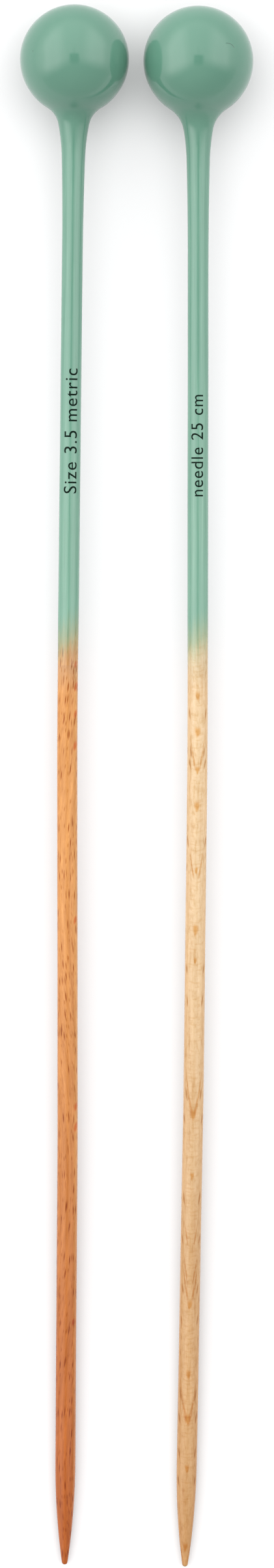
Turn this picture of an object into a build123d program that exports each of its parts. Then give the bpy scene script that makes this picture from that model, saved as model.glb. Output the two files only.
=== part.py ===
from build123d import *
from math import acos, atan2, cos, degrees, hypot, radians, sin, sqrt, tan
import os

# A pair of straight, single-pointed knitting needles, lying side by side on a flat surface.
#
# Each needle is a beech dowel with a turned point. Its other end is glued into the blind socket
# of a turned wooden ball, and a coloured lacquer covers the ball, its neck and the upper shaft.
#
# Frame: +Y runs along the needles towards their knobs, +X to the right and +Z up. The origin is
# on the surface, under the middle of the pair's bounding box. Sizes are in millimetres, and
# angles in degrees. "Along" is always the distance down a needle from its knob's centre.

# ---- The needle's nominal sizes
needle_size = 3.5           # shaft diameter, which is how such needles are sold
working_length = 250.0      # from the knob's underside to the tip of the point

# ---- The point
point_length = 18.0
nose_radius = 0.5

# ---- The knobs and necks, over the lacquer: turned by hand, so the two differ a little
left_knob_diameter = 18.75
right_knob_diameter = 18.9
left_neck_fillet = 4.2      # radius of the hollow between ball and neck
right_neck_fillet = 5.3
shoulder_extra = 0.3        # the ball's half next to the neck has a radius this much larger
neck_radius = 36.0          # of the neck's long hollow
neck_end = 17.0             # along, where the neck runs into the coat's flare

# ---- The socket
neck_mouth = 13.0           # along, where the socket opens
socket_floor = -2.0         # along, just past the middle of the ball
glue_gap = 0.1              # round the dowel and under its end
dowel_chamfer = 0.3

# ---- The lacquer
coat_on_knob = 0.15
coat_on_shaft = 0.05
flare_radius = 640.0        # the coat thickens towards the neck in one long hollow curve
flare_end = 34.0            # along, where the thicker coat runs out
coat_end = 104.0            # along, where the lacquer stops

# ---- How the pair lies: wooden needles are never quite straight, so each has two faint bends
knob_spacing = 21.25        # between the two knobs' centres
right_set_back = 0.3        # the right knob is this much nearer the points
bend_radius = 1500.0
left_heading = -0.65        # turned from -Y, positive towards +X
left_bends = ((114.0, 0.68), (186.0, -0.455))     # along, and the turn there
right_heading = -0.04
right_bends = ((117.0, -0.62), (177.0, -0.37))

# ---- Sizes that follow
shaft_radius = needle_size / 2
coat_radius = shaft_radius + coat_on_shaft
socket_radius = shaft_radius + glue_gap

# The point is an ogive: one arc, tangent to the shaft's side and to the rounded nose.
nose_along = point_length - nose_radius
ogive_radius = (nose_along**2 / (shaft_radius - nose_radius) + shaft_radius + nose_radius) / 2
ogive_angle = atan2(nose_along, ogive_radius - shaft_radius)
ogive_handle = ogive_radius * tan(ogive_angle / 4) * 4 / 3      # of the arc as a Bezier curve

# The neck's hollow is tangent to the coat's flare, whose own end is tangent to the shaft.
flare_centre = Vector(flare_end, coat_radius + flare_radius)
flare_rise = sqrt(flare_radius**2 - (flare_end - neck_end) ** 2)
flare_start = Vector(neck_end, flare_centre.Y - flare_rise)
neck_centre = flare_start + (flare_centre - flare_start).normalized() * neck_radius


def circle_crossing(centre_a, radius_a, centre_b, radius_b):
    """The point at these distances from two centres, on the right of the way from a to b."""
    way = centre_b - centre_a
    foot = (radius_a**2 - radius_b**2 + way.length**2) / (2 * way.length)
    rise = sqrt(radius_a**2 - foot**2)
    unit = way.normalized()
    return centre_a + unit * foot + Vector(unit.Y, -unit.X) * rise


def toward(start, end, distance):
    return start + (end - start).normalized() * distance


class Needle:
    """One needle's own sizes, where it lies, and the shapes of its pieces."""

    def __init__(self, knob_diameter, neck_fillet, heading, bends):
        self.knob_radius = knob_diameter / 2
        self.neck_fillet = neck_fillet
        self.heading = radians(heading)
        self.bends = bends
        self.point_start = self.knob_radius + working_length - point_length
        self.slope = self.lying_slope()
        self.ground_length = (self.knob_radius + working_length) * cos(self.slope)

    def lying_slope(self):
        """A needle rests on its knob and on the underside of its point, so it slopes down to the
        point. The surface touches the ball and the point's arc."""
        drop = ogive_radius - shaft_radius
        reach = hypot(self.point_start, drop)
        return acos((ogive_radius - self.knob_radius) / reach) - atan2(self.point_start, drop)

    def lay(self, knob_x, knob_y):
        """Sets the needle's own plane: X down its shaft from the knob's centre, Y level, Z up."""
        down_shaft = Vector(
            sin(self.heading) * cos(self.slope),
            -cos(self.heading) * cos(self.slope),
            -sin(self.slope),
        )
        level = Vector(cos(self.heading), sin(self.heading), 0)
        centre = (knob_x, knob_y, self.knob_radius)
        self.plane = Plane(centre, x_dir=down_shaft, z_dir=down_shaft.cross(level))
        self.axis = Axis(centre, down_shaft)

    def cross_plane(self, along):
        """The plane across the needle at this distance from the knob's centre."""
        return Plane(self.plane.origin + self.plane.x_dir * along, z_dir=self.plane.x_dir)

    def bent_route(self):
        """Corner points of the dowel's centre line, from its glued end to where the point starts."""
        (first, first_turn), (second, second_turn) = self.bends
        corner = Vector(first, 0)
        middle = Vector(second - first, 0).rotate(Axis.Z, first_turn)
        last = Vector(self.point_start - second, 0).rotate(Axis.Z, first_turn + second_turn)
        start = Vector(socket_floor + glue_gap, 0)
        corners = start, corner, corner + middle, corner + middle + last
        return [tuple(point) for point in corners]

    def draw_knob_side(self, cover, end):
        """Arcs from the ball's far side to a place along the neck, this deep in the lacquer."""
        ball = self.knob_radius - cover
        shoulder = self.knob_radius + shoulder_extra
        shoulder_centre = Vector(0, -shoulder_extra)
        fillet_centre = circle_crossing(
            shoulder_centre, shoulder + self.neck_fillet,
            neck_centre, neck_radius - self.neck_fillet,
        )
        shoulder_end = toward(shoulder_centre, fillet_centre, shoulder - cover)
        fillet_end = toward(neck_centre, fillet_centre, neck_radius + cover)
        rise = sqrt((neck_radius + cover) ** 2 - (neck_centre.X - end) ** 2)
        far_side = ThreePointArc((-ball, 0), (-ball / sqrt(2), ball / sqrt(2)), (0, ball))
        near_side = RadiusArc(far_side @ 1, shoulder_end, shoulder - cover)
        fillet = RadiusArc(near_side @ 1, fillet_end, -self.neck_fillet - cover)
        neck = RadiusArc(fillet @ 1, (end, neck_centre.Y - rise), -neck_radius - cover)
        return far_side @ 0, neck @ 1

    def make_shaft(self):
        """The dowel, bent twice, with its point."""
        with BuildPart() as shaft:
            with BuildLine(self.plane) as route:
                FilletPolyline(*self.bent_route(), radius=bend_radius)
            with BuildSketch(Plane(route.line @ 0, z_dir=route.line % 0)):
                Circle(shaft_radius)
            sweep()
            glued_end = shaft.faces().sort_by(Axis.Y)[-1]
            chamfer(glued_end.edges(), dowel_chamfer)

            point = Plane(route.line @ 1, x_dir=route.line % 1, z_dir=self.plane.z_dir)
            nose_way = Vector(sin(ogive_angle), cos(ogive_angle))
            side_way = Vector(cos(ogive_angle), -sin(ogive_angle))
            side_end = Vector(nose_along, 0) + nose_way * nose_radius
            with BuildSketch(point):
                with BuildLine():
                    side = Bezier(
                        (0, shaft_radius),
                        (ogive_handle, shaft_radius),
                        side_end - side_way * ogive_handle,
                        side_end,
                    )
                    nose = RadiusArc(side @ 1, (point_length, 0), nose_radius)
                    Polyline(nose @ 1, (0, 0), side @ 0)
                make_face()
            revolve(axis=Axis(point.origin, point.x_dir))
        return shaft.part

    def make_knob(self):
        """The turned ball and its neck, with a blind socket for the dowel."""
        with BuildPart() as knob:
            with BuildSketch(self.plane):
                with BuildLine():
                    pole, rim = self.draw_knob_side(coat_on_knob, neck_mouth)
                    Polyline(rim, (neck_mouth, 0), pole)
                make_face()
            revolve(axis=self.axis)
            with Locations(self.cross_plane(neck_mouth)):
                Hole(socket_radius, depth=neck_mouth - socket_floor)
        return knob.part

    def make_glue_line(self, shaft):
        """The glue that fills the socket round the dowel and under its end."""
        with BuildPart() as glue:
            with BuildSketch(self.cross_plane(socket_floor)):
                Circle(socket_radius)
            extrude(amount=neck_mouth - socket_floor)
            add(shaft, mode=Mode.SUBTRACT)
        return glue.part

    def make_lacquer_coat(self):
        """The lacquer: a skin over the ball, the neck, the socket's rim and the upper shaft."""
        with BuildPart() as coat:
            with BuildSketch(self.plane):
                with BuildLine():
                    pole, neck_low = self.draw_knob_side(0, neck_end)
                    flare = RadiusArc(neck_low, (flare_end, coat_radius), -flare_radius)
                    wood_pole, rim = self.draw_knob_side(coat_on_knob, neck_mouth)
                    Polyline(
                        flare @ 1,
                        (coat_end, coat_radius),
                        (coat_end, shaft_radius),
                        (neck_mouth, shaft_radius),
                        rim,
                    )
                    Line(wood_pole, pole)
                make_face()
            revolve(axis=self.axis)
        return coat.part


def write_piece(name, piece):
    piece.label = name
    export_step(piece, f"parts/{name}.step")


# The pair's box is centred on the origin: the left knob is its top, and the right tip its end.
left = Needle(left_knob_diameter, left_neck_fillet, left_heading, left_bends)
right = Needle(right_knob_diameter, right_neck_fillet, right_heading, right_bends)
half_width = (left.knob_radius + knob_spacing + right.knob_radius) / 2
left_knob_y = (right.ground_length + right_set_back - left.knob_radius) / 2
left.lay(left.knob_radius - half_width, left_knob_y)
right.lay(half_width - right.knob_radius, left_knob_y - right_set_back)

os.makedirs("parts", exist_ok=True)
for side, needle in (("left", left), ("right", right)):
    shaft = needle.make_shaft()
    write_piece(f"{side}_shaft", shaft)
    write_piece(f"{side}_knob", needle.make_knob())
    write_piece(f"{side}_glue_line", needle.make_glue_line(shaft))
    write_piece(f"{side}_lacquer_coat", needle.make_lacquer_coat())
    print(f"{side} needle slopes {degrees(needle.slope):.3f} degrees")
print(f"ogive radius {ogive_radius:.2f}")
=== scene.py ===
import math

import bmesh
import bpy
import numpy as np
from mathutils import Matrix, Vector, noise


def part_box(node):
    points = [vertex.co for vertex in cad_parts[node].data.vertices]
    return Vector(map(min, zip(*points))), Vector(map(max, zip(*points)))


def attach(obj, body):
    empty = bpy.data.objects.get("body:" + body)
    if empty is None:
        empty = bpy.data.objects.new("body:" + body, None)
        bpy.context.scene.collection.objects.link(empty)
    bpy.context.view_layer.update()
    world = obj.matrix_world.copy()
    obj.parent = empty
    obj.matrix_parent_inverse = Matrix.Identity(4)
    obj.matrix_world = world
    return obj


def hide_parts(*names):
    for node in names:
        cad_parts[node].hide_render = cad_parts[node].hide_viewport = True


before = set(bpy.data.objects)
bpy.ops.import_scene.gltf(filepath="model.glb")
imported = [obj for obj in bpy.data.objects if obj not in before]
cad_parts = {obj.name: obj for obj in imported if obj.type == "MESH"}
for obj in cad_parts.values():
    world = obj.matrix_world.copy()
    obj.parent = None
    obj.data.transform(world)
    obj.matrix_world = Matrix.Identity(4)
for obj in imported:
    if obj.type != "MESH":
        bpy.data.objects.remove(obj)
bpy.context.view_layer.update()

# A pair of straight knitting needles lying on a pale light table, seen from straight above.
# Lengths are in millimetres, and MM turns them into Blender's metres. "Along" is the distance
# down a needle from its knob's centre, as in the CAD model.
MM = 0.001
SIDES = ("left", "right")
PLACE = "needle"            # the attribute that holds each point's own place on its needle
SPOT_CORE = 0.35            # the share of a spot's size that is at full strength
NOISE_MEAN = 0.5            # of any noise node

# ---- Sizes of the CAD model
SHAFT_RADIUS = 1.75
POINT_LENGTH = 18.0
NOSE_RADIUS = 0.5
COAT_ON_KNOB = 0.15
COAT_ON_SHAFT = 0.05
NECK_FILLET = {"left": 4.2, "right": 5.3}
SHOULDER_EXTRA = 0.3
NECK_RADIUS = 36.0
NECK_END = 17.0
NECK_MOUTH = 13.0
SOCKET_FLOOR = -2.0
GLUE_GAP = 0.1
DOWEL_CHAMFER = 0.3
FLARE_RADIUS = 640.0
FLARE_END = 34.0
COAT_END = 104.0

# ---- How the visible shapes differ from the CAD model's
FEATHER = 8.0               # the coat thins out over this much of its end
FEATHER_EDGE = 0.004        # and is still this thick where it stops
UNEVENNESS = 0.018          # how far a hand-sanded dowel is out of round
UNEVEN_LENGTH = 14.0        # of one swelling
UNEVEN_ROUND = 0.6          # how many there are to a radius, round the needle
UNEVEN_SEED = {"left": 0.0, "right": 10.0}
UNEVEN_START = 14.0         # along, where it begins, just below the knob's mouth
UNEVEN_FULL = 34.0
UNEVEN_TIP = 6.0            # the last stretch of the point, which is round again
WIDEST_SHAFT = 2.6          # a larger radius is part of the neck or the ball

# ---- How finely the meshes are made
AROUND = 64                         # points round a needle
RING_STEP = 1.0                     # between rings on a straight stretch
BALL_STEP = math.radians(4)         # the turn from ring to ring, on the ball and on each arc
FILLET_STEP = BALL_STEP * 1.5
NECK_STEP = BALL_STEP / 4
FLARE_STEP = math.radians(0.09)
OGIVE_STEP = math.radians(0.3)
NOSE_STEP = math.radians(12)
SHARP_ANGLE = math.radians(38)      # edges that turn further than this look sharp

# ---- How the centre line is read off the CAD model's dowel
RING_GAP = 0.25             # rings of its points lie further apart than this
FULL_RING = 0.98            # and a whole ring reaches this share of the shaft's radius
ROUNDING = 4                # decimals in which points that coincide are equal

# ---- The camera, straight above, framing the whole pair
CAMERA_HEIGHT = 1130.3
CAMERA_X = 0.06
CAMERA_Y = 0.76
LENS = 150.0
SENSOR = 36.0
CLIP_START = 50.0
CLIP_END = 20000.0


def make_camera():
    data = bpy.data.cameras.new("camera")
    data.lens = LENS
    data.sensor_width = SENSOR
    data.clip_start = CLIP_START * MM
    data.clip_end = CLIP_END * MM
    camera = bpy.data.objects.new("camera", data)
    camera.location = (CAMERA_X * MM, CAMERA_Y * MM, CAMERA_HEIGHT * MM)
    bpy.context.scene.collection.objects.link(camera)
    bpy.context.scene.camera = camera


# ---------------------------------------------------------------- node trees


class Number:
    """A value in a node tree. Arithmetic on it adds Math nodes."""

    def __init__(self, graph, socket):
        self.graph = graph
        self.socket = socket

    def __add__(self, other):
        return self.graph.math("ADD", self, other)

    def __sub__(self, other):
        return self.graph.math("SUBTRACT", self, other)

    def __rsub__(self, other):
        return self.graph.math("SUBTRACT", other, self)

    def __mul__(self, other):
        return self.graph.math("MULTIPLY", self, other)

    def __truediv__(self, other):
        return self.graph.math("DIVIDE", self, other)

    def __abs__(self):
        return self.graph.math("ABSOLUTE", self)

    __radd__ = __add__
    __rmul__ = __mul__


class Graph:
    """A node tree, with one short call for each kind of node. A place is three Numbers: along,
    across and height."""

    def __init__(self, tree):
        self.tree = tree
        tree.nodes.clear()

    def node(self, kind, **settings):
        node = self.tree.nodes.new(kind)
        for name, value in settings.items():
            setattr(node, name, value)
        return node

    def put(self, socket, value):
        """Links a value to a socket, or sets the socket to a constant."""
        if isinstance(value, Number):
            value = value.socket
        if isinstance(value, bpy.types.NodeSocket):
            self.tree.links.new(value, socket)
        else:
            socket.default_value = value

    def math(self, operation, *values):
        node = self.node("ShaderNodeMath", operation=operation)
        for socket, value in zip(node.inputs, values):
            self.put(socket, value)
        return Number(self, node.outputs[0])

    def smooth(self, value, start, full):
        """0 at start and 1 at full, whichever is the larger, with a soft step between."""
        node = self.node("ShaderNodeMapRange", interpolation_type="SMOOTHSTEP")
        reverse = full < start
        self.put(node.inputs["Value"], value)
        self.put(node.inputs["From Min"], min(start, full))
        self.put(node.inputs["From Max"], max(start, full))
        self.put(node.inputs["To Min"], 1.0 if reverse else 0.0)
        self.put(node.inputs["To Max"], 0.0 if reverse else 1.0)
        return Number(self, node.outputs[0])

    def point(self, x, y, z=0.0):
        node = self.node("ShaderNodeCombineXYZ")
        for socket, value in zip(node.inputs, (x, y, z)):
            self.put(socket, value)
        return node.outputs[0]

    def split(self, vector, scale=1.0):
        node = self.node("ShaderNodeSeparateXYZ")
        self.put(node.inputs[0], vector)
        return [Number(self, output) * scale for output in node.outputs]

    def distance(self, here, there):
        node = self.node("ShaderNodeVectorMath", operation="DISTANCE")
        self.put(node.inputs[0], here)
        self.put(node.inputs[1], there)
        return Number(self, node.outputs["Value"])

    def noise(self, point, detail, roughness, distortion=0.0):
        """Fractal noise of one unit's period, between 0 and 1."""
        node = self.node("ShaderNodeTexNoise", noise_dimensions="3D")
        self.put(node.inputs["Vector"], point)
        self.put(node.inputs["Scale"], 1.0)
        self.put(node.inputs["Detail"], detail)
        self.put(node.inputs["Roughness"], roughness)
        self.put(node.inputs["Distortion"], distortion)
        return Number(self, node.outputs[0])

    def streaks(self, place, per_along, per_across, detail, roughness, seed=0.0, distortion=0.0):
        """Noise with this many features to the millimetre along the needle and across it."""
        along, across, height = place
        point = self.point(along * per_along, across * per_across + seed, height * per_across)
        return self.noise(point, detail, roughness, distortion)

    def marks(self, place, cell, edge, odds, lift=0.0):
        """Scattered marks, at most one to a cell of this length and width. Each has a soft edge,
        from where it starts to where it is full, in cells. Odds are the limits between which a
        cell's own random value brings its mark out. The lift moves the marks, in cells."""
        along, across, height = place
        length, width = cell
        node = self.node("ShaderNodeTexVoronoi", voronoi_dimensions="3D", feature="F1")
        point = self.point(along / length, across / width, height / width + lift)
        self.put(node.inputs["Vector"], point)
        self.put(node.inputs["Scale"], 1.0)
        distance = Number(self, node.outputs["Distance"])
        chance = self.split(node.outputs["Color"])[0]
        return self.smooth(distance, *edge) * self.smooth(chance, *odds)

    def mix(self, factor, first, second, blend="MIX"):
        node = self.node("ShaderNodeMix", data_type="RGBA", blend_type=blend)
        self.put(node.inputs["Factor"], factor)
        self.put(node.inputs["A"], first)
        self.put(node.inputs["B"], second)
        return node.outputs["Result"]

    def shade(self, factor, colour, tint):
        """Scales a colour, where the factor is 1, by a tint's amount for each channel."""
        return self.mix(factor, colour, (*tint, 1.0), "MULTIPLY")

    def figure(self, value, colour, tints):
        """Shades a colour by rows of where the value starts to tell, where it tells in full, and
        the tint that it then brings."""
        for start, full, tint in tints:
            colour = self.shade(self.smooth(value, start, full), colour, tint)
        return colour

    def spots(self, places, along, across, length, width):
        """Soft spots at (along, across, size) places, the nearer the stronger."""
        here = self.point(along / length, across / width)
        strength = None
        for place, side, size in places:
            apart = self.distance(here, (place / length, side / width, 0.0))
            spot = self.smooth(apart, size, size * SPOT_CORE)
            strength = spot if strength is None else self.math("MAXIMUM", strength, spot)
        return strength


def srgb(red, green, blue):
    """A linear colour from 0-255 screen values."""
    linear = []
    for value in (red, green, blue):
        part = value / 255
        linear.append(part / 12.92 if part <= 0.04045 else ((part + 0.055) / 1.055) ** 2.4)
    return (*linear, 1.0)


# ---------------------------------------------------------------- stage and light

# ---- Radiances and shares of light
TENT = 1.75                 # radiance of the bright cloth over and round the needles
SIDE_LIGHTS = 1.0           # what the lamps behind the cloth add to it on both sides
DARK_END = 0.7              # radiance of the room's dim end, beyond the points
LENS_GAP = 0.15             # and of the gap in the cloth that the camera looks through
SEAM_SHARE = 0.3            # of the cloth's light that its seam keeps back
LEFT_SHARE = 0.12           # by which the left side is brighter, and the right one darker
SWEEP_SHARE = 0.5           # of the table's own radiance, 1, in the light of the cloth's foot
BACKDROP = 1.05             # what the camera sees beyond the floor
CLOTH_COLOUR = (1.0, 0.995, 0.985, 1.0)

# ---- The cloth's edge: its limits, and how much it leans overhead, bows at the sides and skews
TENT_EDGE = (-0.22, 0.24)
TENT_LEAN = 0.12
TENT_BOW = 0.35
TENT_SKEW = 0.12

# ---- Where the rest starts and is full, as parts of a direction that is 1 long
LAMP_SIDE = (0.2, 0.62)
LAMP_HEIGHT = (0.1, 0.5)
LAMP_FAR_SIDE = (1.0, 0.85)
GAP_HEIGHT = (0.5, 0.8)
SWEEP_HEIGHT = (0.3, 0.0)

# ---- The same for the gap and the seam, as slopes away from straight up
GAP_WIDTH = (0.24, 0.1)
GAP_TO_KNOBS = (0.16, 0.05)
GAP_TO_POINTS = (-0.36, -0.14)
SEAM_WIDTH = (0.09, 0.02)
SEAM_TO_KNOBS = (0.65, 0.2)
LEAST_RISE = 0.05           # keeps the slopes finite at the horizon

# ---- The light table
FLOOR_SIZE = 60000.0
FLOOR_COLOUR = (0.445, 0.445, 0.452, 1.0)
FLOOR_ROUGHNESS = 0.8
FLOOR_SHINE = 0.2
WHITE = (1.0, 1.0, 1.0, 1.0)
TABLE_GLOW = 0.12           # radiance of the table itself
TABLE_LAMP = 2.2            # irradiance of the table by its own overhead lamp
TABLE_LAMP_WIDTH = math.radians(64)     # a wide lamp, for very soft shadows


def make_world():
    """A studio light tent, bright overhead, at the sides and beyond the knobs, and dim beyond the
    points. The camera looks down through a gap, which narrows to a seam towards the knobs."""
    world = bpy.data.worlds.new("studio")
    world.use_nodes = True
    bpy.context.scene.world = world
    g = Graph(world.node_tree)
    x, y, z = g.split(g.node("ShaderNodeTexCoord").outputs["Generated"])
    side = abs(x)
    tent = g.smooth(y + z * TENT_LEAN + side * TENT_BOW - x * TENT_SKEW, *TENT_EDGE)
    lamps = g.smooth(side, *LAMP_SIDE) * g.smooth(z, *LAMP_HEIGHT)
    lamps = lamps * g.smooth(side, *LAMP_FAR_SIDE)
    rise = g.math("MAXIMUM", z, LEAST_RISE)
    gap = g.smooth(side / rise, *GAP_WIDTH) * g.smooth(y / rise, *GAP_TO_KNOBS)
    gap = gap * g.smooth(y / rise, *GAP_TO_POINTS)
    seam = g.smooth(side / rise, *SEAM_WIDTH) * g.smooth(y / rise, *SEAM_TO_KNOBS) * SEAM_SHARE
    cloth = lamps * SIDE_LIGHTS + TENT
    radiance = tent * (cloth - DARK_END) * (1.0 - seam) + DARK_END
    hole = gap * g.smooth(z, *GAP_HEIGHT)
    radiance = radiance * (1.0 - hole) + hole * LENS_GAP
    radiance = radiance * (1.0 - x * LEFT_SHARE)
    sweep = g.smooth(z, *SWEEP_HEIGHT) * SWEEP_SHARE
    radiance = radiance * (1.0 - sweep) + sweep
    seen = Number(g, g.node("ShaderNodeLightPath").outputs["Is Camera Ray"])
    radiance = radiance * (1.0 - seen) + seen * BACKDROP
    background = g.node("ShaderNodeBackground")
    background.inputs["Color"].default_value = CLOTH_COLOUR
    g.put(background.inputs["Strength"], radiance)
    out = g.node("ShaderNodeOutputWorld")
    g.put(out.inputs["Surface"], background.outputs[0])


def make_floor():
    """The light table: a pale floor with a faint glow, and a lamp that lights nothing else."""
    mesh = bpy.data.meshes.new("floor")
    half = FLOOR_SIZE / 2 * MM
    corners = [(-half, -half, 0), (half, -half, 0), (half, half, 0), (-half, half, 0)]
    mesh.from_pydata(corners, [], [(0, 1, 2, 3)])
    floor = bpy.data.objects.new("floor", mesh)
    bpy.context.scene.collection.objects.link(floor)
    material = bpy.data.materials.new("floor")
    material.use_nodes = True
    shader = material.node_tree.nodes["Principled BSDF"]
    shader.inputs["Base Color"].default_value = FLOOR_COLOUR
    shader.inputs["Roughness"].default_value = FLOOR_ROUGHNESS
    shader.inputs["Specular IOR Level"].default_value = FLOOR_SHINE
    shader.inputs["Emission Color"].default_value = WHITE
    shader.inputs["Emission Strength"].default_value = TABLE_GLOW
    mesh.materials.append(material)
    lamp_data = bpy.data.lights.new("table_lamp", "SUN")
    lamp_data.energy = TABLE_LAMP
    lamp_data.angle = TABLE_LAMP_WIDTH
    lamp = bpy.data.objects.new("table_lamp", lamp_data)
    bpy.context.scene.collection.objects.link(lamp)
    lit = bpy.data.collections.new("lit_by_table_lamp")
    lit.objects.link(floor)
    lamp.light_linking.receiver_collection = lit


# ---------------------------------------------------------------- the needles' shape


def polar(centre, radius, angle):
    return (centre[0] + radius * math.cos(angle), centre[1] + radius * math.sin(angle))


def arc(centre, radius, start, end, step):
    """Points on an arc of an outline, both ends included. Angles are from the needle's axis."""
    count = max(2, math.ceil(abs(end - start) / step))
    return [polar(centre, radius, start + (end - start) * i / count) for i in range(count + 1)]


def run(start, end):
    """Points on a straight stretch of an outline, both ends included."""
    count = max(1, math.ceil(math.dist(start, end) / RING_STEP))
    return [
        (start[0] + (end[0] - start[0]) * i / count, start[1] + (end[1] - start[1]) * i / count)
        for i in range(count + 1)
    ]


def bearing(start, end):
    return math.atan2(end[1] - start[1], end[0] - start[0])


def share(value, start, full):
    """How far a value is on its way from start to full, between 0 and 1."""
    return min(1.0, max(0.0, (value - start) / (full - start)))


def circle_crossing(centre_a, radius_a, centre_b, radius_b):
    """The point at these distances from two centres, on the right of the way from a to b."""
    way = Vector(centre_b) - Vector(centre_a)
    foot = (radius_a**2 - radius_b**2 + way.length_squared) / (2 * way.length)
    rise = math.sqrt(radius_a**2 - foot**2)
    unit = way.normalized()
    return Vector(centre_a) + unit * foot + Vector((unit.y, -unit.x)) * rise


class Needle:
    """One needle's centre line, read off the CAD model, and the meshes of its pieces."""

    def __init__(self, side):
        self.side = side
        low, high = (Vector(corner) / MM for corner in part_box(f"{side}_lacquer_coat"))
        self.knob_radius = (high.x - low.x) / 2
        self.centre = Vector((low.x + self.knob_radius, high.y - self.knob_radius, self.knob_radius))
        self.read_centre_line()
        self.find_neck()

    def read_centre_line(self):
        """The dowel's rings are full circles, so the mean of each ring's points is on its axis."""
        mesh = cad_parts[f"{self.side}_shaft"].data
        points = np.empty(len(mesh.vertices) * 3)
        mesh.vertices.foreach_get("co", points)
        points = np.unique(np.round(points.reshape(-1, 3) / MM, ROUNDING), axis=0)
        points = points[np.argsort(-points[:, 1])]
        gaps = np.flatnonzero(-np.diff(points[:, 1]) > RING_GAP) + 1
        self.line = [self.centre]
        for ring in np.split(points, gaps):
            middle = Vector(ring.mean(axis=0))
            reach = max((Vector(point) - middle).length for point in ring)
            below_neck = (middle - self.centre).length > NECK_MOUTH
            if below_neck and reach > SHAFT_RADIUS * FULL_RING:
                self.line.append(middle)
        down = (self.line[-1] - self.line[-2]).normalized()
        self.line.append(self.line[-1] + down * POINT_LENGTH)
        steps = [(b - a).length for a, b in zip(self.line, self.line[1:])]
        self.alongs = [sum(steps[:i]) for i in range(len(self.line))]
        self.tip = self.alongs[-1]
        self.point_start = self.tip - POINT_LENGTH

    def find_neck(self):
        """Centres of the arcs between the ball and the coat's long flare, each tangent to the next."""
        fillet = NECK_FILLET[self.side]
        shoulder = self.knob_radius + SHOULDER_EXTRA
        self.flare_centre = Vector((FLARE_END, SHAFT_RADIUS + COAT_ON_SHAFT + FLARE_RADIUS))
        self.flare_turn = math.asin((FLARE_END - NECK_END) / FLARE_RADIUS)
        start_angle = -math.pi / 2 - self.flare_turn
        flare_start = Vector(polar(self.flare_centre, FLARE_RADIUS, start_angle))
        to_flare = (self.flare_centre - flare_start).normalized()
        self.neck_centre = flare_start + to_flare * NECK_RADIUS
        self.shoulder_centre = Vector((0, -SHOULDER_EXTRA))
        self.fillet_centre = circle_crossing(
            self.shoulder_centre, shoulder + fillet, self.neck_centre, NECK_RADIUS - fillet
        )
        self.shoulder_angle = bearing(self.shoulder_centre, self.fillet_centre)
        self.neck_angle = bearing(self.neck_centre, self.fillet_centre)

    def section(self, along):
        """The centre line's point at a distance from the knob's centre, and the level and the
        upward direction across the needle there."""
        index = 0
        while index < len(self.alongs) - 2 and along > self.alongs[index + 1]:
            index += 1
        start, end = self.line[index], self.line[index + 1]
        way = (end - start).normalized()
        centre = start + way * (along - self.alongs[index])
        level = Vector((0, 0, 1)).cross(way).normalized()
        return centre, level, way.cross(level)

    def unevenness(self, along, across, height, radius):
        """How far the surface is off a true circle: a little on the shaft, not at all elsewhere."""
        if radius <= 0 or radius > WIDEST_SHAFT:
            return 0.0
        fade = share(along, UNEVEN_START, UNEVEN_FULL) * share(self.tip - along, 0.0, UNEVEN_TIP)
        where = Vector((
            along / UNEVEN_LENGTH,
            across * UNEVEN_ROUND + UNEVEN_SEED[self.side],
            height * UNEVEN_ROUND,
        ))
        return UNEVENNESS * fade * noise.noise(where)

    def shape(self, name, outline):
        """Turns an outline about the centre line. Points on the axis close the surface."""
        build = bmesh.new()
        own_place = build.verts.layers.float_vector.new(PLACE)
        rings = []
        for along, radius in outline:
            centre, level, up = self.section(along)
            ring = []
            for i in range(AROUND if radius > 0 else 1):
                turn = 2 * math.pi * i / AROUND
                across, height = math.cos(turn), math.sin(turn)
                real = radius + self.unevenness(along, across, height, radius)
                offset = level * (across * real) + up * (height * real)
                vertex = build.verts.new((centre + offset) * MM)
                vertex[own_place] = Vector((along, across * radius, height * radius)) * MM
                ring.append(vertex)
            rings.append(ring)
        for first, second in zip(rings, rings[1:]):
            for i in range(AROUND):
                corners = [first[i % len(first)], second[i % len(second)]]
                corners += [second[(i + 1) % len(second)], first[(i + 1) % len(first)]]
                unique = list(dict.fromkeys(corners))
                if len(unique) > 2:
                    build.faces.new(unique)
        for face in build.faces:
            face.smooth = True
        piece = finish_piece(name, build)
        piece.data.set_sharp_from_angle(angle=SHARP_ANGLE)
        return piece

    def ogive(self):
        """The outline of the turned point, from the shaft's side to the tip."""
        nose = POINT_LENGTH - NOSE_RADIUS
        radius = nose**2 / (SHAFT_RADIUS - NOSE_RADIUS) + SHAFT_RADIUS + NOSE_RADIUS
        radius /= 2
        centre = (self.point_start, SHAFT_RADIUS - radius)
        angle = math.atan2(radius - SHAFT_RADIUS, nose)
        side = arc(centre, radius, math.pi / 2, angle, OGIVE_STEP)
        tip = arc((self.point_start + nose, 0), NOSE_RADIUS, angle, 0, NOSE_STEP)
        return side[:-1] + tip[:-1] + [(self.tip, 0)]

    def make_shaft(self):
        end = SOCKET_FLOOR + GLUE_GAP
        outline = [(end, 0), (end, SHAFT_RADIUS - DOWEL_CHAMFER)]
        outline += run((end + DOWEL_CHAMFER, SHAFT_RADIUS), (self.point_start, SHAFT_RADIUS))[:-1]
        return self.shape(f"{self.side}_dowel", outline + self.ogive())

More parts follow.
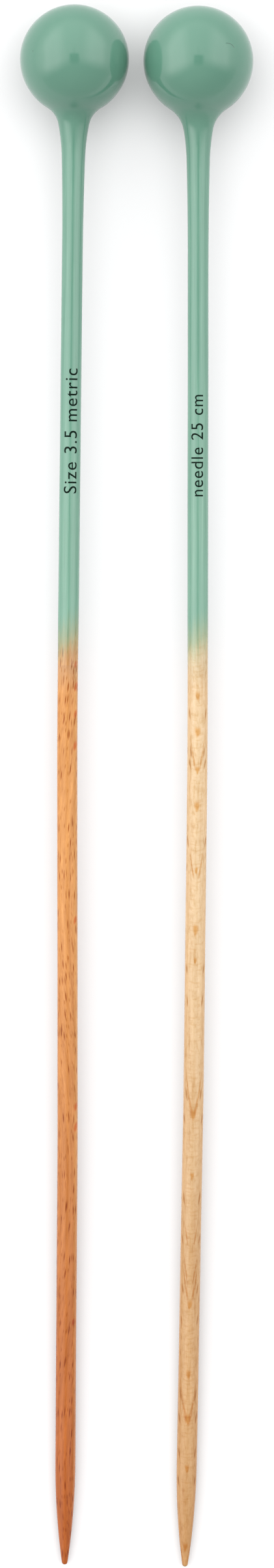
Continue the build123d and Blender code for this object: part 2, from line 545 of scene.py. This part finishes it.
    def knob_side(self, cover, end):
        """The outline from the ball's far side to a place on the neck, this deep in the lacquer."""
        ball = self.knob_radius - cover
        shoulder = self.knob_radius + SHOULDER_EXTRA - cover
        fillet = NECK_FILLET[self.side] + cover
        neck = NECK_RADIUS + cover
        fillet_start = self.shoulder_angle - math.pi
        neck_end = -math.pi / 2 - math.asin((self.neck_centre.x - end) / neck)
        outline = [(-ball, 0)] + arc((0, 0), ball, math.pi, math.pi / 2, BALL_STEP)[1:]
        for centre, radius, start, finish, step in (
            (self.shoulder_centre, shoulder, math.pi / 2, self.shoulder_angle, BALL_STEP),
            (self.fillet_centre, fillet, fillet_start, self.neck_angle, FILLET_STEP),
            (self.neck_centre, neck, self.neck_angle, neck_end, NECK_STEP),
        ):
            outline += arc(centre, radius, start, finish, step)[1:]
        return outline

    def make_knob(self):
        socket = SHAFT_RADIUS + GLUE_GAP
        outline = self.knob_side(COAT_ON_KNOB, NECK_MOUTH)
        outline += run((NECK_MOUTH, socket), (SOCKET_FLOOR, socket))
        return self.shape(f"{self.side}_ball", outline + [(SOCKET_FLOOR, 0)])

    def make_glue(self):
        outer = SHAFT_RADIUS + GLUE_GAP
        end = SOCKET_FLOOR + GLUE_GAP
        outline = [(SOCKET_FLOOR, 0)] + run((SOCKET_FLOOR, outer), (NECK_MOUTH, outer))
        outline += run((NECK_MOUTH, SHAFT_RADIUS), (end + DOWEL_CHAMFER, SHAFT_RADIUS))
        outline += [(end, SHAFT_RADIUS - DOWEL_CHAMFER), (end, 0)]
        return self.shape(f"{self.side}_set_glue", outline)

    def make_coat(self):
        """The lacquer, which thins out to almost nothing over its last millimetres."""
        skin = SHAFT_RADIUS + COAT_ON_SHAFT
        thinning = COAT_END - FEATHER
        flare_start = -math.pi / 2 - self.flare_turn
        outline = self.knob_side(0, NECK_END)
        outline += arc(self.flare_centre, FLARE_RADIUS, flare_start, -math.pi / 2, FLARE_STEP)[1:]
        outline += run((FLARE_END, skin), (thinning, skin))[1:]
        outline += run((thinning, skin), (COAT_END, SHAFT_RADIUS + FEATHER_EDGE))[1:]
        outline += run((COAT_END, SHAFT_RADIUS), (NECK_MOUTH, SHAFT_RADIUS))
        outline += reversed(self.knob_side(COAT_ON_KNOB, NECK_MOUTH))
        return self.shape(f"{self.side}_lacquer", outline)


def finish_piece(name, build):
    """Turns a finished build into an object."""
    mesh = bpy.data.meshes.new(name)
    bmesh.ops.recalc_face_normals(build, faces=build.faces)
    build.to_mesh(mesh)
    build.free()
    piece = bpy.data.objects.new(name, mesh)
    bpy.context.scene.collection.objects.link(piece)
    return piece


# ---------------------------------------------------------------- materials


def new_material(name):
    """A material, its empty tree, and a point's own place in millimetres."""
    material = bpy.data.materials.new(name)
    material.use_nodes = True
    g = Graph(material.node_tree)
    own = g.node("ShaderNodeAttribute", attribute_name=PLACE, attribute_type="GEOMETRY")
    return material, g, g.split(own.outputs["Vector"], 1 / MM)


def finish_material(g, colour, roughness, height, depth, shine=0.5):
    """Ends a tree in one shader. The bump's height is in units of depth, in millimetres."""
    shader = g.node("ShaderNodeBsdfPrincipled")
    g.put(shader.inputs["Base Color"], colour)
    g.put(shader.inputs["Roughness"], roughness)
    shader.inputs["Specular IOR Level"].default_value = shine
    bump = g.node("ShaderNodeBump")
    bump.inputs["Distance"].default_value = depth * MM
    g.put(bump.inputs["Height"], height)
    g.put(shader.inputs["Normal"], bump.outputs[0])
    out = g.node("ShaderNodeOutputMaterial")
    g.put(out.inputs["Surface"], shader.outputs[0])


# ---- Both woods
TOP_SIDE = (0.0, 0.5)       # heights between which the marks of the upper side appear
VARNISH_ROUGHNESS = 0.24
PORE_ROUGHNESS = 0.2        # more where the varnish sinks into the pores
VARNISH_SHINE = 0.22
VARNISH_DEPTH = 0.01
# Painted sheen: the pale, bluish haze of a last trace of lacquer, too thin to model, lightens the
# wood's colour next to the coat.
LACQUER_TRACE_SHEEN = {"left": (0.97, 1.06, 1.45), "right": (1.0, 1.01, 1.05)}
SHEEN_TRACE_END = (110.0, 103.0)  # along, over which the painted sheen of the last trace of lacquer fades out

# ---- The left needle: its colours by the coat and by the point, and where one becomes the other
LEFT_COLOURS = (srgb(189, 131, 75), srgb(152, 79, 33))
LEFT_AGEING = (120.0, 262.0)
LEFT_UNDER_COAT = ((110.0, 100.0, (0.75, 0.88, 1.05)),)

# Its grain winds from side to side in one long wave.
WAVE_START = 118.0
WAVE_LENGTH = 15.9          # per radian
WAVE_REACH = 1.9

# Noise as Graph.streaks takes it, marks as Graph.marks does, and tints as Graph.figure does,
# pale parts first
LEFT_STREAKS = (0.045, 1.5, 3.0, 0.6)
LEFT_STREAK_TINTS = ((0.45, 0.75, (1.16, 1.22, 1.3)), (0.5, 0.2, (0.84, 0.76, 0.66)))
LEFT_FIBRES = (0.3, 3.2, 4.0, 0.7)
LEFT_FIBRE_TINTS = ((0.5, 0.72, (1.16, 1.2, 1.24)), (0.5, 0.25, (0.8, 0.72, 0.6)))
LEFT_HAIRS = ((1.5, 0.34), (0.4, 0.08), (0.35, 0.85))
LEFT_HAIR_TINT = (0.72, 0.56, 0.32)
LEFT_PORES = ((3.0, 0.38), (0.42, 0.12), (0.25, 0.65), 3.3)
LEFT_PORE_TINT = (0.5, 0.25, 0.0)
LEFT_PAINTED_SHEEN = (0.9, 1.6)      # distances across between which the painted sheen on the right edge begins
LEFT_PAINTED_SHEEN_TINT = (1.17, 1.5, 1.8)
PAINTED_SHEEN_BY_COAT = 0.25         # the painted sheen's strength by the coat, which grows to 1 by the point
LEFT_FLECK_TINT = (0.88, 0.52, 0.4)
FLECK_SIZE = (1.1, 0.45)    # length and width
FLECK_LEAN = 1.2            # how far it leans along the needle for each millimetre across
LEFT_FIBRE_HEIGHT = 0.4     # heights and depths in the relief, where a pore's depth is 1
LEFT_HAIR_DEPTH = 0.4

# Red-orange flecks near the left needle's right edge: along, across and size.
LEFT_FLECKS = (
    (103.8, 1.35, 0.8), (107.6, 1.45, 0.9), (112.3, 1.4, 0.8), (117.8, 1.35, 0.9),
    (147.8, 1.35, 0.8), (180.0, 1.4, 0.8), (183.5, 1.4, 0.9), (217.2, 1.2, 0.7),
)

# ---- The right needle, likewise
RIGHT_COLOURS = (srgb(200, 174, 139), srgb(174, 135, 92))
RIGHT_AGEING = (110.0, 262.0)
RIGHT_UNDER_COAT = ((109.0, 99.0, (0.77, 0.89, 0.92)),)
RIGHT_FLANKS = (1.6, 0.9)   # heights between which the flanks begin, darkened in colour as painted shade
RIGHT_FLANK_SHADE_TINT = (0.97, 0.91, 0.84)
RIGHT_LAYERS = (0.05, 2.6, 0.6)         # layers to the millimetre along, in height and across
RIGHT_LAYER_NOISE = (3.0, 0.55)         # their detail and roughness
RIGHT_LAYER_TINTS = ((0.5, 0.72, (1.1, 1.12, 1.14)), (0.5, 0.28, (0.92, 0.85, 0.76)))
RIGHT_MOTTLE = (0.8, 1.5, 4.0, 0.7)
RIGHT_MOTTLE_TINTS = ((0.5, 0.7, (1.06, 1.08, 1.14)), (0.5, 0.3, (0.9, 0.84, 0.74)))
RIGHT_LADDER = (2.2, 0.5, 1.0, 0.5)     # cross ripples on the middle of the top
RIGHT_RUNGS = (0.5, 0.68)
RUNG_HANG = 0.2             # how far a rung's ends hang for each millimetre out
RIGHT_MIDDLE = (1.2, 1.6)   # heights between which they begin
RIGHT_LADDER_TINT = (0.94, 0.89, 0.81)
RIGHT_FIBRES = (0.35, 3.0, 2.0, 0.5)
RIGHT_FIBRE_TINTS = ((0.5, 0.26, (0.9, 0.84, 0.74)),)
RIGHT_LINES = ((2.2, 0.36), (0.4, 0.1), (0.45, 0.85))
RIGHT_LINE_TINT = (0.7, 0.55, 0.36)
LINES_ON_TOP = 0.3          # their strength there, which is 1 on the flanks
SHIELD_SIZE = (1.3, 0.72)
SHIELD_HANG = 0.9
SHIELD_RAGGEDNESS = 1.6
SHIELD_TINT = (0.88, 0.68, 0.42)
CHEVRON_SIZE = (1.6, 0.8)
CHEVRON_OUT = 0.75          # where it is strongest, across
CHEVRON_BOW = 3.7           # how far its ends hang, 1 mm out from its middle
CHEVRON_RAGGEDNESS = 0.8
CHEVRON_BREAKS = (0.8, 4.5, 2.0, 0.6)
CHEVRON_WHOLE = (0.32, 0.54)
CHEVRON_TINT = (0.8, 0.6, 0.36)
DASH_SIZE = (1.5, 0.17)
DASH_SPLAY = 0.1            # how far a dash leans out for each millimetre along
DASH_TINT = (0.7, 0.52, 0.33)
RIGHT_FIBRE_HEIGHT = 0.3    # heights and depths in the relief, where a dash's depth is 1
RIGHT_LADDER_HEIGHT = 0.2
RIGHT_LINE_DEPTH = 0.6

# The right needle's figure, the same on both sides of its top: orange shields on the top and
# bowed chevrons across it, as along and size, and pairs of dark dashes beside them, as along,
# distance across and size.
RIGHT_SHIELDS = (
    (109.0, 0.75), (115.3, 0.95), (121.7, 0.7), (128.0, 0.9), (139.0, 0.5), (149.3, 0.9),
    (154.4, 0.5), (181.1, 1.0), (191.6, 0.6), (214.0, 0.8), (226.1, 0.8), (233.9, 1.0),
    (242.3, 0.7), (256.0, 0.8),
)
RIGHT_CHEVRONS = (
    (121.5, 0.8), (140.5, 0.7), (180.6, 1.0), (204.2, 0.5), (210.4, 0.7), (213.0, 0.8),
    (233.8, 1.0), (258.6, 0.8),
)
RIGHT_DASHES = (
    (112.0, 1.36, 0.9), (118.6, 1.11, 0.9), (120.6, 1.27, 0.8), (134.0, 1.5, 0.9),
    (156.0, 1.44, 0.8), (161.5, 1.27, 0.9), (177.5, 1.22, 1.0), (181.8, 1.5, 0.8),
    (195.5, 1.32, 1.0), (202.6, 1.45, 0.8), (211.2, 1.27, 0.9), (216.6, 1.36, 0.8),
    (229.5, 1.27, 1.0), (233.6, 1.4, 0.9), (239.5, 1.36, 0.9), (244.4, 1.4, 0.8),
)


def left_wood(g, along, across, height):
    """Steamed beech cut on the flat: orange-tan, with short dark pores that lean with the grain, and a
    pale grazing reflection painted along its right edge. Gives the colour, and the relief of the
    fibres and pores."""
    age = g.smooth(along, *LEFT_AGEING)
    colour = g.mix(age, *LEFT_COLOURS)
    wave = g.math("SINE", (along - WAVE_START) / WAVE_LENGTH)
    place = (along, across + wave * WAVE_REACH, height)
    colour = g.figure(g.streaks(place, *LEFT_STREAKS), colour, LEFT_STREAK_TINTS)
    fibre = g.streaks(place, *LEFT_FIBRES)
    colour = g.figure(fibre, colour, LEFT_FIBRE_TINTS)
    hair = g.marks(place, *LEFT_HAIRS)
    colour = g.shade(hair, colour, LEFT_HAIR_TINT)
    pore = g.marks(place, *LEFT_PORES)
    colour = g.shade(pore, colour, LEFT_PORE_TINT)
    colour = g.figure(along, colour, LEFT_UNDER_COAT)
    # Painted sheen: the right edge is lightened in colour, standing in for a grazing reflection.
    edge = g.smooth(across, *LEFT_PAINTED_SHEEN) * (age * (1.0 - PAINTED_SHEEN_BY_COAT) + PAINTED_SHEEN_BY_COAT)
    colour = g.shade(edge, colour, LEFT_PAINTED_SHEEN_TINT)

    places = [(at + side * FLECK_LEAN, side, size) for at, side, size in LEFT_FLECKS]
    flecks = g.spots(places, along + across * FLECK_LEAN, across, *FLECK_SIZE)
    colour = g.shade(flecks * g.smooth(height, *TOP_SIDE), colour, LEFT_FLECK_TINT)
    return colour, fibre * LEFT_FIBRE_HEIGHT - pore - hair * LEFT_HAIR_DEPTH


def right_wood(g, along, across, height):
    """Pale beech cut on the quarter, with its grain across the needle, so the figure is the same
    on both sides of the top, and with painted shade on its flanks. Gives the colour, and the relief of
    the fibres and pores."""
    place = (along, across, height)
    out = abs(across)
    above = g.smooth(height, *TOP_SIDE)
    colour = g.mix(g.smooth(along, *RIGHT_AGEING), *RIGHT_COLOURS)
    colour = g.figure(along, colour, RIGHT_UNDER_COAT)
    # Painted shade: the flanks are darkened in colour, as the sides of the needle away from the light
    # above.
    flanks = g.smooth(height, *RIGHT_FLANKS)
    colour = g.shade(flanks, colour, RIGHT_FLANK_SHADE_TINT)
    per_along, per_height, per_across = RIGHT_LAYERS
    layered = g.point(along * per_along, height * per_height, across * per_across)
    colour = g.figure(g.noise(layered, *RIGHT_LAYER_NOISE), colour, RIGHT_LAYER_TINTS)
    mottle = g.streaks(place, *RIGHT_MOTTLE)
    colour = g.figure(mottle, colour, RIGHT_MOTTLE_TINTS)
    ladder = g.streaks((along + out * RUNG_HANG, across, height), *RIGHT_LADDER)
    rungs = g.smooth(ladder, *RIGHT_RUNGS) * g.smooth(height, *RIGHT_MIDDLE)
    colour = g.shade(rungs, colour, RIGHT_LADDER_TINT)
    fibre = g.streaks(place, *RIGHT_FIBRES)
    colour = g.figure(fibre, colour, RIGHT_FIBRE_TINTS)
    line = g.marks(place, *RIGHT_LINES)
    lined = flanks * (1.0 - LINES_ON_TOP) + LINES_ON_TOP
    colour = g.shade(line * lined, colour, RIGHT_LINE_TINT)

    ragged = along + out * SHIELD_HANG + (mottle - NOISE_MEAN) * SHIELD_RAGGEDNESS
    places = [(at, 0.0, size) for at, size in RIGHT_SHIELDS]
    shields = g.spots(places, ragged, across, *SHIELD_SIZE)
    colour = g.shade(shields * above, colour, SHIELD_TINT)

    bowed = along + out * out * CHEVRON_BOW + (mottle - NOISE_MEAN) * CHEVRON_RAGGEDNESS
    places = [(at, CHEVRON_OUT, size) for at, size in RIGHT_CHEVRONS]
    whole = g.smooth(g.streaks((along, out, 0.0), *CHEVRON_BREAKS), *CHEVRON_WHOLE)
    chevrons = g.spots(places, bowed, out, *CHEVRON_SIZE) * whole
    colour = g.shade(chevrons * above, colour, CHEVRON_TINT)

    places = [(at, side + at * DASH_SPLAY, size) for at, side, size in RIGHT_DASHES]
    dashes = g.spots(places, along, out + along * DASH_SPLAY, *DASH_SIZE)
    colour = g.shade(dashes * above, colour, DASH_TINT)
    relief = ladder * RIGHT_LADDER_HEIGHT + fibre * RIGHT_FIBRE_HEIGHT
    return colour, relief - dashes - line * RIGHT_LINE_DEPTH


WOODS = {"left": left_wood, "right": right_wood}


def wood_roughness(relief):
    """The varnish sinks into the pores, which are duller."""
    return VARNISH_ROUGHNESS - relief * PORE_ROUGHNESS


def make_shaft_material(side):
    """Bare wood under a thin satin varnish, with the painted sheen of a last trace of lacquer next to
    the coat.
    """
    material, g, place = new_material(f"{side}_varnished_beech")
    colour, relief = WOODS[side](g, *place)
    # Painted sheen of the lacquer's last trace, put into the wood's colour
    colour = g.shade(g.smooth(place[0], *SHEEN_TRACE_END), colour, LACQUER_TRACE_SHEEN[side])
    finish_material(g, colour, wood_roughness(relief), relief, VARNISH_DEPTH, VARNISH_SHINE)
    return material


# ---- The lacquer's colours
MINT_ON_KNOB = srgb(81, 125, 107)
MINT_ON_SHAFT = srgb(94, 137, 119)
MINT_LOWER_DOWN = srgb(112, 153, 133)
MINT_CLOUD = srgb(108, 150, 131)
MINT_STREAK = srgb(76, 116, 98)
MINT_PALE_STREAK = srgb(138, 176, 156)
MINT_BLEMISH = srgb(50, 82, 68)
MINT_STAIN = srgb(128, 148, 108)        # of the wood, where the coat is thinnest

# ---- How much of each comes in where it is strongest
LOWER_DOWN_SHARE = 0.4
CLOUD_SHARE = 0.4           # for each unit that the cloud is over its mean
CLOUD_MEAN_SHARE = 0.08
STREAK_SHARE = 0.35
PALE_STREAK_SHARE = 0.25
BLEMISH_SHARE = 0.6
STAIN_SHARE = 0.5

# ---- Where it changes, along: from the knob's tone to the shaft's, to the paler tone lower
# down, from full to thin, and from thin to gone
SLENDER = (8.0, 24.0)
LOWER_DOWN = (40.0, 90.0)
THINNING = (94.0, 103.0)
GOING = (99.0, 103.6)
FRAY = 5.0                  # how far the coat's end frays along the fibres
COAT_SLANT = 0.6            # how much sooner it ends for each millimetre to the right

# ---- Its surface
LACQUER_SEED = {"left": 0.0, "right": 7.0}
LACQUER_ROUGHNESS = 0.07
CLOUD_ROUGHNESS = 0.03
CREASE_ROUGHNESS = 0.14     # more in the crease between ball and neck
CREASE_START = (5.5, 7.5)
CREASE_END = (12.0, 9.0)
LACQUER_SHINE = 0.6
LACQUER_DEPTH = 0.01
LACQUER_CLOUD = (0.09, 0.12, 2.0, 0.5)
LACQUER_GRAIN = (0.06, 3.2, 3.0, 0.6)
DARK_STREAK = (0.5, 0.24)   # limits of the grain's dark and pale streaks
PALE_STREAK = (0.52, 0.74)
LACQUER_FRAY = (0.16, 3.6, 3.0, 0.65)
ORANGE_PEEL = (0.5, 0.5, 2.0, 0.4)
PEEL_HEIGHT = 2.0           # heights and depths of its bumps, in units of its depth
GRAIN_HEIGHT = 0.8
BLEMISH_DEPTH = 3.0

# ---- Its blemishes: places on the needle, sizes, and limits between which each is drawn
NIB_PLACE = (-0.8, -7.05, 6.1)
NIB_EDGE = (0.2, 0.06)
NIB_STRENGTH = 0.6
SCRATCH_CENTRE = (-1.07, 4.88, 0.0)
SCRATCH_RADIUS = 1.33
SCRATCH_EDGE = (0.1, 0.03)
SCRATCH_MIDDLE = (-2.27, 5.46, 0.0)
SCRATCH_REACH = (0.95, 0.7)
SCRATCH_SIDE = (0.0, 1.0)   # in height, so that it is on the upper side only


def dark_nib(g, place):
    """A speck caught in the left ball's lacquer."""
    return g.smooth(g.distance(g.point(*place), NIB_PLACE), *NIB_EDGE) * NIB_STRENGTH


def short_scratch(g, place):
    """A short curved scratch on the right ball: part of a ring, as seen from above."""
    along, across, height = place
    seen = g.point(along, across)
    off_ring = abs(g.distance(seen, SCRATCH_CENTRE) - SCRATCH_RADIUS)
    line = g.smooth(off_ring, *SCRATCH_EDGE)
    stretch = g.smooth(g.distance(seen, SCRATCH_MIDDLE), *SCRATCH_REACH)
    return line * stretch * g.smooth(height, *SCRATCH_SIDE)


BLEMISHES = {"left": dark_nib, "right": short_scratch}


def make_lacquer_material(side):
    """Mint lacquer. It thins out over the wood at the end of the coat, along the fibres."""
    material, g, place = new_material(f"{side}_mint_lacquer")
    along, across, height = place
    seed = LACQUER_SEED[side]
    wood, relief = WOODS[side](g, *place)
    blemish = BLEMISHES[side](g, place)
    slender = g.smooth(along, *SLENDER)
    cloud = g.streaks(place, *LACQUER_CLOUD, seed)
    grain = g.streaks(place, *LACQUER_GRAIN, seed)
    fray = g.streaks(place, *LACQUER_FRAY, seed)
    peel = g.streaks(place, *ORANGE_PEEL, seed)
    mint = g.mix(slender, MINT_ON_KNOB, MINT_ON_SHAFT)
    for amount, tone in (
        (g.smooth(along, *LOWER_DOWN) * LOWER_DOWN_SHARE, MINT_LOWER_DOWN),
        ((cloud - NOISE_MEAN) * CLOUD_SHARE + CLOUD_MEAN_SHARE, MINT_CLOUD),
        (g.smooth(grain, *DARK_STREAK) * slender * STREAK_SHARE, MINT_STREAK),
        (g.smooth(grain, *PALE_STREAK) * slender * PALE_STREAK_SHARE, MINT_PALE_STREAK),
        (blemish * BLEMISH_SHARE, MINT_BLEMISH),
    ):
        mint = g.mix(amount, mint, tone)
    reach = along + (fray - NOISE_MEAN) * FRAY + across * COAT_SLANT
    gone = g.smooth(reach, *GOING)
    kept = 1.0 - gone
    stained = g.mix(STAIN_SHARE, wood, MINT_STAIN)
    colour = g.mix(g.smooth(reach, *THINNING), mint, stained)
    colour = g.mix(gone, colour, wood)
    bumps = (peel * PEEL_HEIGHT + grain * slender * GRAIN_HEIGHT) * kept
    bumps = bumps - blemish * BLEMISH_DEPTH + relief * gone
    crease = g.smooth(along, *CREASE_START) * g.smooth(along, *CREASE_END)
    roughness = LACQUER_ROUGHNESS + cloud * CLOUD_ROUGHNESS + crease * CREASE_ROUGHNESS
    roughness = roughness * kept + wood_roughness(relief) * gone
    finish_material(g, colour, roughness, bumps, LACQUER_DEPTH, LACQUER_SHINE)
    return material


# ---- The knob's wood, the glue and the ink: colours, noise and marks
KNOB_COLOURS = (srgb(190, 150, 104), srgb(226, 192, 148))
KNOB_RINGS = (0.15, 1.4, 3.0, 0.6)
KNOB_PORES = ((2.4, 0.4), (0.3, 0.1), (0.5, 0.6))
KNOB_PORE = srgb(128, 80, 44)
KNOB_PORE_SHARE = 0.6
GLUE_COLOURS = (srgb(214, 196, 140), srgb(238, 226, 184))
GLUE_CLOUD = (0.6, 0.8, 3.0, 0.6)
GLUE_BUBBLES = ((0.7, 0.7), (0.22, 0.12), (0.6, 0.7))
BUBBLE_DEPTH = 2.0
INK_COLOURS = (srgb(8, 26, 18), srgb(24, 52, 40))
INK_GRAIN = (9.0, 9.0, 2.0, 0.6)
INK_SPECKS = (0.5, 0.8)
INK_SPECK_SHARE = 0.4


def make_knob_material():
    """Bare turned wood, as it is under the lacquer."""
    material, g, place = new_material("bare_turned_beech")
    rings = g.streaks(place, *KNOB_RINGS, distortion=0.4)
    pore = g.marks(place, *KNOB_PORES)
    colour = g.mix(pore * KNOB_PORE_SHARE, g.mix(rings, *KNOB_COLOURS), KNOB_PORE)
    finish_material(g, colour, roughness=0.65, height=rings - pore, depth=0.02)
    return material


def make_glue_material():
    """Set wood glue: cloudy yellow, with small bubbles."""
    material, g, place = new_material("set_wood_glue")
    cloud = g.streaks(place, *GLUE_CLOUD)
    bubble = g.marks(place, *GLUE_BUBBLES)
    colour = g.mix(cloud, *GLUE_COLOURS)
    roughness = 0.35 + cloud * 0.15
    finish_material(g, colour, roughness, cloud - bubble * BUBBLE_DEPTH, depth=0.02)
    return material


def make_ink_material():
    """Dark printing ink, a little uneven where it was pressed on."""
    material, g, place = new_material("printed_ink")
    grain = g.streaks(place, *INK_GRAIN)
    colour = g.mix(g.smooth(grain, *INK_SPECKS) * INK_SPECK_SHARE, *INK_COLOURS)
    roughness = 0.5 + grain * 0.1
    finish_material(g, colour, roughness, grain, depth=0.004, shine=0.06)
    return material


# ---------------------------------------------------------------- the printed size marks

# The text, its middle along and across the needle, its length and its nominal letter size
MARKS = {
    "left": ("Size 3.5 metric", 63.75, 0.08, 21.4, 3.3),
    "right": ("needle 25 cm", 65.97, -0.17, 17.4, 3.1),
}
INK = 0.012                 # thickness of the print above the lacquer, and its depth in it
LETTER_SPACING = 1.1
LETTER_CURVES = 6           # steps in each curve of a letter
SAME_CORNER = 0.002         # corners of letters that are nearer than this are one
MARK_STRIP = 0.12           # width of the strips that a letter is cut into, to bend it
STRIPS_EACH_WAY = 12        # from the letters' middle line


def flat_letters(text, length, size):
    """The text's faces on the XY plane, from x = 0 to the given length, middled on y = 0."""
    curve = bpy.data.curves.new("letters", "FONT")
    curve.body = text
    curve.size = size
    curve.space_character = LETTER_SPACING
    curve.resolution_u = LETTER_CURVES
    holder = bpy.data.objects.new("letters", curve)
    bpy.context.scene.collection.objects.link(holder)
    graph = bpy.context.evaluated_depsgraph_get()
    flat = bpy.data.meshes.new_from_object(holder.evaluated_get(graph))
    build = bmesh.new()
    build.from_mesh(flat)
    bpy.data.objects.remove(holder)
    bpy.data.curves.remove(curve)
    bpy.data.meshes.remove(flat)
    bmesh.ops.remove_doubles(build, verts=build.verts, dist=SAME_CORNER)
    xs = [vertex.co.x for vertex in build.verts]
    ys = [vertex.co.y for vertex in build.verts]
    stretch = length / (max(xs) - min(xs))
    for vertex in build.verts:
        vertex.co.x = (vertex.co.x - min(xs)) * stretch
        vertex.co.y -= (max(ys) + min(ys)) / 2
    for i in range(-STRIPS_EACH_WAY, STRIPS_EACH_WAY + 1):
        geometry = list(build.verts) + list(build.edges) + list(build.faces)
        cut = (0, i * MARK_STRIP, 0)
        bmesh.ops.bisect_plane(build, geom=geometry, plane_co=cut, plane_no=(0, 1, 0))
    return build


def make_mark(needle):
    """A size mark printed on the lacquer, read from the point's end with the knob to the right."""
    text, middle, middle_across, length, size = MARKS[needle.side]
    build = flat_letters(text, length, size)
    own_place = build.verts.layers.float_vector.new(PLACE)
    made = bmesh.ops.extrude_face_region(build, geom=list(build.faces))["geom"]
    raised = {item for item in made if isinstance(item, bmesh.types.BMVert)}
    skin = SHAFT_RADIUS + COAT_ON_SHAFT
    for vertex in build.verts:
        along = middle + length / 2 - vertex.co.x
        turn = math.pi / 2 + (vertex.co.y - middle_across) / skin
        across, height = math.cos(turn), math.sin(turn)
        uneven = needle.unevenness(along, across, height, skin)
        radius = skin + uneven + (INK if vertex in raised else -INK)
        centre, level, up = needle.section(along)
        vertex[own_place] = Vector((along, across * skin, height * skin)) * MM
        vertex.co = (centre + level * (across * radius) + up * (height * radius)) * MM
    return finish_piece(f"{needle.side}_size_mark", build)


# ---------------------------------------------------------------- the whole

make_camera()
make_world()
make_floor()
bpy.context.scene.view_settings.view_transform = "Standard"

knob_wood = make_knob_material()
glue = make_glue_material()
ink = make_ink_material()
for side in SIDES:
    needle = Needle(side)
    made = (
        (needle.make_shaft(), make_shaft_material(side), "shaft", f"{side}_wood"),
        (needle.make_knob(), knob_wood, "knob", "knob_wood"),
        (needle.make_glue(), glue, "glue_line", "glue"),
        (needle.make_coat(), make_lacquer_material(side), "lacquer_coat", "lacquer"),
    )
    for piece, material, node, slot in made:
        piece.data.materials.append(material)
        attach(piece, f"{side}_needle")
        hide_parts(f"{side}_{node}")
    mark = make_mark(needle)
    mark.data.materials.append(ink)
    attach(mark, f"{side}_needle")
